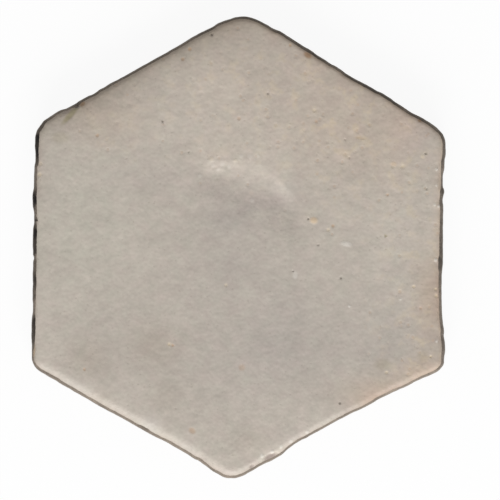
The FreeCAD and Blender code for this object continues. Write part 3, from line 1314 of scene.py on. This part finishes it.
class Nodes:
    """A short way to wire the nodes of a material or of the world."""

    def __init__(self, owner: bpy.types.Material | bpy.types.World) -> None:
        """Clear the nodes, to be wired afresh.

        Args:
            owner: The material or world.
        """
        owner.use_nodes = True
        self.tree = owner.node_tree
        self.tree.nodes.clear()

    @cached_property
    def place(self) -> bpy.types.NodeSocket:
        """The piece's own coordinates."""
        return self.add("ShaderNodeTexCoord").outputs["Object"]

    def add(self, kind: str, **settings: object) -> bpy.types.Node:
        """Add a node.

        Args:
            kind: Its type.
            settings: Its own properties.

        Returns:
            The node.
        """
        node = self.tree.nodes.new(kind)
        for name, value in settings.items():
            setattr(node, name, value)
        return node

    def put(self, value: object, socket: bpy.types.NodeSocket) -> None:
        """Feed a socket.

        Args:
            value: The socket that feeds it, or its own value.
            socket: The socket.
        """
        if isinstance(value, bpy.types.NodeSocket):
            self.tree.links.new(value, socket)
        else:
            socket.default_value = value

    def math(self, kind: str, *values: object) -> bpy.types.NodeSocket:
        """Work out one number from others.

        Args:
            kind: What to do with them.
            values: The numbers, as sockets or values.

        Returns:
            The socket with the outcome.
        """
        node = self.add("ShaderNodeMath", operation=kind)
        for value, socket in zip(values, node.inputs):
            self.put(value, socket)
        return node.outputs[0]

    def span(
        self, value: object, low: float, high: float, start: float = 0.0, end: float = 1.0
    ) -> bpy.types.NodeSocket:
        """Map a stretch of one number smoothly on to another.

        Args:
            value: The number.
            low: Where its stretch begins.
            high: Where it ends, which may lie below low.
            start: What low becomes.
            end: What high becomes.

        Returns:
            The socket with the outcome.
        """
        node = self.add("ShaderNodeMapRange", interpolation_type="SMOOTHSTEP")
        for socket, given in zip(node.inputs, (value, low, high, start, end)):
            self.put(given, socket)
        return node.outputs[0]

    def mix(
        self, share: object, first: object, second: object, kind: str = "MIX"
    ) -> bpy.types.NodeSocket:
        """Blend two colours.

        Args:
            share: How much of the second comes in.
            first: The first colour, as a socket or its channels.
            second: The second colour.
            kind: How they are blended.

        Returns:
            The socket with the colour.
        """
        node = self.add("ShaderNodeMix", data_type="RGBA", blend_type=kind)
        self.put(share, node.inputs["Factor"])
        for name, value in (("A", first), ("B", second)):
            socket = next(s for s in node.inputs if s.name == name and s.type == "RGBA")
            self.put((*value, 1.0) if isinstance(value, tuple) else value, socket)
        return next(s for s in node.outputs if s.type == "RGBA")

    def shaders(
        self, share: object, first: bpy.types.NodeSocket, second: bpy.types.NodeSocket
    ) -> bpy.types.NodeSocket:
        """Blend two shaders.

        Args:
            share: How much of the second comes in.
            first: The first shader.
            second: The second shader.

        Returns:
            The socket with the shader.
        """
        node = self.add("ShaderNodeMixShader")
        for value, socket in zip((share, first, second), node.inputs):
            self.put(value, socket)
        return node.outputs[0]

    def attribute(self, name: str, output: str) -> bpy.types.NodeSocket:
        """Read one of the skin's own values."""
        return self.add("ShaderNodeAttribute", attribute_name=name).outputs[output]

    def grey(self, level: object) -> bpy.types.NodeSocket:
        """Make a grey of one level.

        Args:
            level: The level, as a socket or a value.

        Returns:
            The socket with the colour.
        """
        node = self.add("ShaderNodeCombineColor")
        for socket in node.inputs:
            self.put(level, socket)
        return node.outputs[0]

    def noise(self, cloud: Cloud) -> bpy.types.Node:
        """Add the noise of a cloud.

        Args:
            cloud: The cloud.

        Returns:
            The noise's node.
        """
        node = self.add("ShaderNodeTexNoise")
        self.put(self.place, node.inputs["Vector"])
        node.inputs["Scale"].default_value = 1 / cloud.size
        node.inputs["Detail"].default_value = cloud.detail
        node.inputs["Roughness"].default_value = cloud.roughness
        return node

    def cloudy(self, cloud: Cloud) -> bpy.types.NodeSocket:
        """The level of a cloud, about 0.5."""
        return self.noise(cloud).outputs["Fac"]

    def centred(self, cloud: Cloud) -> bpy.types.NodeSocket:
        """The level of a cloud, as its swing about 0."""
        level = self.math("SUBTRACT", self.cloudy(cloud), 0.5)
        return self.math("MULTIPLY", level, cloud.swing * 2)

    def warped(self, cloud: Cloud) -> bpy.types.NodeSocket:
        """Shift the piece's coordinates unevenly, so that what is drawn on them isn't round.

        Args:
            cloud: The cloud whose swing is the shift.

        Returns:
            The socket with the new coordinates.
        """
        moved = self.add("ShaderNodeVectorMath", operation="MULTIPLY_ADD")
        self.put(self.noise(cloud).outputs["Color"], moved.inputs[0])
        moved.inputs[1].default_value = (cloud.swing, cloud.swing, cloud.swing)
        self.put(self.place, moved.inputs[2])
        return moved.outputs[0]

    def cells(self, place: object, size: float) -> bpy.types.Node:
        """Scatter cells.

        Args:
            place: The socket with the coordinates, as they are or warped.
            size: About how large a cell is, in metres.

        Returns:
            The cells' node.
        """
        node = self.add("ShaderNodeTexVoronoi")
        self.put(place, node.inputs["Vector"])
        node.inputs["Scale"].default_value = 1 / size
        return node

    def bump(self, height: object, rise: float, normal: object = None) -> bpy.types.NodeSocket:
        """Add fine relief.

        Args:
            height: The socket with its height.
            rise: How far a height of 1 stands out, in metres.
            normal: The relief below it, if there is one.

        Returns:
            The socket with the normal.
        """
        node = self.add("ShaderNodeBump")
        node.inputs["Distance"].default_value = rise
        self.put(height, node.inputs["Height"])
        if normal is not None:
            self.put(normal, node.inputs["Normal"])
        return node.outputs["Normal"]

    def surface(
        self, colour: object, roughness: object, gloss: float, normal: object
    ) -> bpy.types.NodeSocket:
        """Make a surface.

        Args:
            colour: The socket with its colour.
            roughness: Its roughness, as a socket or a value.
            gloss: How much it mirrors.
            normal: The socket with its normal.

        Returns:
            The surface's shader socket.
        """
        shader = self.add("ShaderNodeBsdfPrincipled")
        self.put(colour, shader.inputs["Base Color"])
        self.put(roughness, shader.inputs["Roughness"])
        shader.inputs["Specular IOR Level"].default_value = gloss
        self.put(normal, shader.inputs["Normal"])
        return shader.outputs[0]


@dataclass(frozen=True)
class Scatter:
    """Round spots in the cells of an even scatter.

    The reach is a spot's radius as a share of the spacing. The filled share of the cells hold
    one, only where the glaze is flecked if so said. The strength is how strongly a spot covers
    what is below it, or how deep it is.
    """

    spacing: float
    reach: float
    filled: float
    strength: float
    in_flecks: bool = False

    SHARP_SHARE = 0.35

    def spots(self, nodes: Nodes, place: object) -> bpy.types.NodeSocket:
        """Wire the spots.

        Args:
            nodes: The material's nodes.
            place: The socket with the coordinates, as they are or warped.

        Returns:
            The socket with 1 in a spot and 0 outside.
        """
        filled = self.filled
        if self.in_flecks:
            filled = nodes.math("MULTIPLY", nodes.attribute("flecked", "Fac"), filled)
        cells = nodes.cells(place, self.spacing)
        near = nodes.span(cells.outputs["Distance"], self.reach, self.reach * self.SHARP_SHARE)
        draw = nodes.add("ShaderNodeSeparateColor")
        nodes.put(cells.outputs["Color"], draw.inputs[0])
        return nodes.math("MULTIPLY", near, nodes.math("LESS_THAN", draw.outputs[0], filled))


@dataclass(frozen=True)
class SatinGlaze:
    """The off-white satin glaze, tinted where it is thin, with flecks and pinholes.

    The shades swing its brightness. It is hazy between its two values of roughness, and blushes
    between rosy and green.
    """

    body: Colour = linear(185, 176, 165)
    straw: Colour = linear(208, 190, 158)
    rust: Colour = linear(182, 152, 124)
    speck: Colour = linear(120, 108, 94)
    rosy: Colour = (1.025, 0.975, 1.0)
    green: Colour = (0.975, 1.025, 1.0)
    gloss: float = 0.34
    roughness: tuple[float, float] = (0.42, 0.56)
    haze: Cloud = Cloud(9 * MM, detail=3.0)
    haze_levels: tuple[float, float] = (0.3, 0.7)
    shades: tuple[Cloud, ...] = (
        Cloud(16 * MM, swing=0.10),
        Cloud(4.5 * MM, roughness=0.55, swing=0.12),
        Cloud(1.3 * MM, detail=0.5, swing=0.07),
    )
    blush: Cloud = Cloud(5 * MM)
    blotches: Cloud = Cloud(4.6 * MM, roughness=0.6)
    blotch_levels: tuple[float, float] = (0.50, 0.70)
    blotch_cover: float = 0.32
    warp: Cloud = Cloud(0.9 * MM, swing=0.7 * MM)
    dots: Scatter = Scatter(3.4 * MM, 0.22, 1.0, 0.28, in_flecks=True)
    specks: Scatter = Scatter(1.9 * MM, 0.24, 0.40, 0.15)
    pebbles: tuple[Cloud, ...] = (
        Cloud(2.4 * MM, detail=1.0, swing=0.12 * MM),
        Cloud(1.2 * MM, detail=0.5, swing=0.035 * MM),
    )
    pits: tuple[Scatter, ...] = (
        Scatter(3.4 * MM, 0.36, 0.8, 0.065 * MM, in_flecks=True),
        Scatter(1.9 * MM, 0.24, 0.40, 0.02 * MM),
    )

    def shader(self, nodes: Nodes) -> bpy.types.NodeSocket:
        """Wire the glaze.

        Args:
            nodes: The material's nodes.

        Returns:
            The glaze's shader socket.
        """
        haze = nodes.span(nodes.cloudy(self.haze), *self.haze_levels, *self.roughness)
        uneven = nodes.warped(self.warp)
        colour = self._flecks(nodes, uneven, self._ground(nodes))
        return nodes.surface(colour, haze, self.gloss, self._relief(nodes, uneven))

    def _ground(self, nodes: Nodes) -> bpy.types.NodeSocket:
        """Wire the glaze's own colour, with its tint, shades and blush.

        Args:
            nodes: The material's nodes.

        Returns:
            The socket with the colour.
        """
        colour = nodes.mix(1.0, self.body, nodes.attribute("tint", "Color"), "MULTIPLY")
        level = 1.0
        for shade in self.shades:
            level = nodes.math("ADD", nodes.centred(shade), level)
        colour = nodes.mix(1.0, colour, nodes.grey(level), "MULTIPLY")
        blush = nodes.mix(nodes.cloudy(self.blush), self.rosy, self.green)
        return nodes.mix(1.0, colour, blush, "MULTIPLY")

    def _flecks(self, nodes: Nodes, uneven: object, colour: object) -> bpy.types.NodeSocket:
        """Wire the straw blotches, dots, specks and marks on top of the ground.

        Args:
            nodes: The material's nodes.
            uneven: The socket with the warped coordinates.
            colour: The socket with the ground's colour.

        Returns:
            The socket with the colour.
        """
        blotches = nodes.cloudy(self.blotches)
        cover = nodes.span(blotches, *self.blotch_levels, 0.0, self.blotch_cover)
        cover = nodes.math("MULTIPLY", cover, nodes.attribute("flecked", "Fac"))
        colour = nodes.mix(cover, colour, self.straw)
        for scatter, ink in ((self.dots, self.rust), (self.specks, self.speck)):
            cover = nodes.math("MULTIPLY", scatter.spots(nodes, uneven), scatter.strength)
            colour = nodes.mix(cover, colour, ink)
        return nodes.mix(nodes.attribute("ink", "Alpha"), colour, nodes.attribute("ink", "Color"))

    def _relief(self, nodes: Nodes, uneven: object) -> bpy.types.NodeSocket:
        """Wire the pebbly skin of the glaze, its small craters and its pinholes.

        Args:
            nodes: The material's nodes.
            uneven: The socket with the warped coordinates.

        Returns:
            The socket with the normal.
        """
        normal = None
        for cloud in self.pebbles:
            normal = nodes.bump(nodes.cloudy(cloud), cloud.swing, normal)
        for scatter in self.pits:
            hollow = nodes.math("MULTIPLY", scatter.spots(nodes, uneven), -1.0)
            normal = nodes.bump(hollow, scatter.strength, normal)
        return normal


@dataclass(frozen=True)
class BareClay:
    """The dark fired clay of the sides and the back.

    Scorch and painted shade darken it towards the glaze, between two heights that drift, and
    lower down it is paler towards the foot.
    """

    body: Colour = linear(117, 107, 97)
    pale: Colour = linear(139, 127, 115)
    dark: Colour = linear(70, 62, 54)
    # Near-black: kiln scorch and painted shade of the side walls that face away from the lamp.
    scorch_and_shade_colour: Colour = linear(22, 19, 16)
    # Paler clay towards the foot of the wall, by a share set for each side.
    pale_foot_colour: Colour = linear(140, 130, 119)
    scorch_and_shade_heights: tuple[float, float] = (6 * MM, 10 * MM)
    scorch_and_shade_drift: Cloud = Cloud(3.2 * MM, detail=3.0, roughness=0.6, swing=5 * MM)
    least_pale_foot: float = 0.2
    pale_patches: Cloud = Cloud(11 * MM, detail=4.0, roughness=0.6)
    pale_levels: tuple[float, float] = (0.35, 0.7)
    grit_spacing: float = 1.4 * MM
    grit_levels: tuple[float, float] = (0.25, 0.1)
    grain: Cloud = Cloud(0.7 * MM, detail=3.0, swing=0.10 * MM)
    grain_levels: tuple[float, float] = (0.45, 0.75)
    dark_cover: float = 0.5
    sand: Cloud = Cloud(0.3 * MM, swing=0.03 * MM)
    roughness: float = 0.88
    gloss: float = 0.25

    def shader(self, nodes: Nodes) -> bpy.types.NodeSocket:
        """Wire the clay.

        Args:
            nodes: The material's nodes.

        Returns:
            The clay's shader socket.
        """
        grain = nodes.cloudy(self.grain)
        colour = self._darken_and_pale(nodes, self._ground(nodes, grain))
        normal = nodes.bump(grain, self.grain.swing)
        normal = nodes.bump(nodes.cloudy(self.sand), self.sand.swing, normal)
        return nodes.surface(colour, self.roughness, self.gloss, normal)

    def _ground(self, nodes: Nodes, grain: object) -> bpy.types.NodeSocket:
        """Wire the clay's own colour, with its pale patches, grit and grain.

        Args:
            nodes: The material's nodes.
            grain: The socket with the grain's level.

        Returns:
            The socket with the colour.
        """
        patches = nodes.span(nodes.cloudy(self.pale_patches), *self.pale_levels)
        colour = nodes.mix(patches, self.body, self.pale)
        grit = nodes.cells(nodes.place, self.grit_spacing).outputs["Distance"]
        for level, levels in ((grit, self.grit_levels), (grain, self.grain_levels)):
            cover = nodes.span(level, *levels, 0.0, self.dark_cover)
            colour = nodes.mix(cover, colour, self.dark)
        return colour

    def _darken_and_pale(self, nodes: Nodes, colour: object) -> bpy.types.NodeSocket:
        """Wire the scorch with its painted shade, and the paler foot, on top of the clay's own
        colour.

        Args:
            nodes: The material's nodes.
            colour: The socket with the clay's own colour.

        Returns:
            The socket with the colour.
        """
        axes = nodes.add("ShaderNodeSeparateXYZ")
        nodes.put(nodes.place, axes.inputs[0])
        height = axes.outputs["Z"]
        low, high = self.scorch_and_shade_heights
        drifting = nodes.math("ADD", height, nodes.centred(self.scorch_and_shade_drift))
        scorch_and_shade = nodes.span(drifting, low, high)
        scorch_and_shade = nodes.math("MULTIPLY", scorch_and_shade, nodes.attribute("scorch_and_shade", "Fac"))
        colour = nodes.mix(scorch_and_shade, colour, self.scorch_and_shade_colour)
        pale_foot = nodes.span(height, high, low, self.least_pale_foot)
        pale_foot = nodes.math("MULTIPLY", pale_foot, nodes.attribute("pale_foot", "Fac"))
        return nodes.mix(pale_foot, colour, self.pale_foot_colour)


@dataclass(frozen=True)
class TileFinish:
    """Glaze over clay, parted along the ragged line where the glaze stops."""

    glaze: SatinGlaze = SatinGlaze()
    clay: BareClay = BareClay()
    ragged: Cloud = Cloud(0.8 * MM, swing=0.25)
    line_levels: tuple[float, float] = (0.42, 0.58)

    def material(self) -> bpy.types.Material:
        """Make the tile's material.

        Returns:
            The material.
        """
        material = bpy.data.materials.new("satin_glaze_over_clay")
        nodes = Nodes(material)
        glaze = nodes.attribute("glaze", "Fac")
        cover = nodes.math("ADD", glaze, nodes.centred(self.ragged))
        share = nodes.span(cover, *self.line_levels)
        both = nodes.shaders(share, self.clay.shader(nodes), self.glaze.shader(nodes))
        nodes.put(both, nodes.add("ShaderNodeOutputMaterial").inputs["Surface"])
        return material


@dataclass(frozen=True)
class Studio:
    """The pale floor, the low soft lamp, the even sky and the camera overhead."""

    floor_side: float = 12.0
    floor_gap: float = 0.02 * MM
    floor_colour: Colour = (0.92, 0.92, 0.92)
    floor_own_light: float = 0.92
    sky: float = 0.42
    lamp_power: float = 72.0
    lamp_distance: float = 2.5
    lamp_elevation: float = 32.0
    lamp_size: tuple[float, float] = (2.2, 1.4)
    camera_lens: float = 700.0
    sensor: float = 36.0

    WHITE = (1, 1, 1, 1)

    def build(self) -> None:
        """Set up everything round the tile."""
        self._floor()
        self._sky()
        self._lamp()
        self._camera()
        bpy.context.scene.view_settings.view_transform = "Standard"

    def _floor(self) -> None:
        """Lay the white floor, which shows a faint shadow."""
        shape = bmesh.new()
        bmesh.ops.create_grid(shape, x_segments=1, y_segments=1, size=self.floor_side / 2)
        floor = place_mesh("floor", shape)
        floor.location.z = -self.floor_gap
        material = bpy.data.materials.new("white_floor")
        nodes = Nodes(material)
        matt = nodes.add("ShaderNodeBsdfDiffuse")
        matt.inputs["Color"].default_value = (*self.floor_colour, 1)
        light = nodes.add("ShaderNodeEmission")
        light.inputs["Color"].default_value = self.WHITE
        share = nodes.math("MULTIPLY", self._seen(nodes), self.floor_own_light)
        both = nodes.shaders(share, matt.outputs[0], light.outputs[0])
        nodes.put(both, nodes.add("ShaderNodeOutputMaterial").inputs["Surface"])
        floor.data.materials.append(material)

    @staticmethod
    def _seen(nodes: Nodes) -> bpy.types.NodeSocket:
        """Tell the rays that show the background from those that only light the tile.

        Args:
            nodes: The nodes of the background.

        Returns:
            The socket with 1 for a ray that shows it.
        """
        path = nodes.add("ShaderNodeLightPath")
        shown = nodes.math("MAXIMUM", path.outputs["Is Camera Ray"], path.outputs["Is Glossy Ray"])
        return nodes.math("MAXIMUM", shown, path.outputs["Is Transmission Ray"])

    def _sky(self) -> None:
        """Fill the room with even light, and show it white."""
        world = bpy.data.worlds.new("white_room")
        bpy.context.scene.world = world
        nodes = Nodes(world)
        dim, white = (nodes.add("ShaderNodeBackground") for _ in range(2))
        dim.inputs["Strength"].default_value = self.sky
        for node in (dim, white):
            node.inputs["Color"].default_value = self.WHITE
        both = nodes.shaders(self._seen(nodes), dim.outputs[0], white.outputs[0])
        nodes.put(both, nodes.add("ShaderNodeOutputWorld").inputs["Surface"])

    def _lamp(self) -> None:
        """Hang the soft lamp low over the photograph's lower edge."""
        data = bpy.data.lights.new("soft_lamp", "AREA")
        data.shape = "RECTANGLE"
        data.size, data.size_y = self.lamp_size
        data.energy = self.lamp_power
        lamp = bpy.data.objects.new("soft_lamp", data)
        bpy.context.scene.collection.objects.link(lamp)
        rise = math.radians(self.lamp_elevation)
        towards = Vector((0, -math.cos(rise), math.sin(rise)))
        lamp.location = towards * self.lamp_distance
        lamp.rotation_mode = "QUATERNION"
        lamp.rotation_quaternion = towards.to_track_quat("Z", "Y")
        lamp.visible_camera = False

    def _camera(self) -> None:
        """Look straight down on the tile, framed as the photograph frames it."""
        data = bpy.data.cameras.new("camera")
        data.sensor_width = self.sensor
        data.lens = self.camera_lens
        camera = bpy.data.objects.new("camera", data)
        bpy.context.scene.collection.objects.link(camera)
        height = PHOTO.width * self.camera_lens / self.sensor
        camera.location = PHOTO.middle + Vector((0, 0, height))
        data.clip_end = height * 2
        bpy.context.scene.camera = camera


def main() -> None:
    """Build the tile and the studio round it."""
    logging.basicConfig(level=logging.INFO, format="%(message)s")
    Studio().build()
    tile = TileBody(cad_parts[NODE]).build()
    tile.data.materials.append(TileFinish().material())
    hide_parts(NODE)
    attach(tile, "root")
    log.info("%s: %d faces", tile.name, len(tile.data.polygons))


if __name__ == "__main__":
    main()
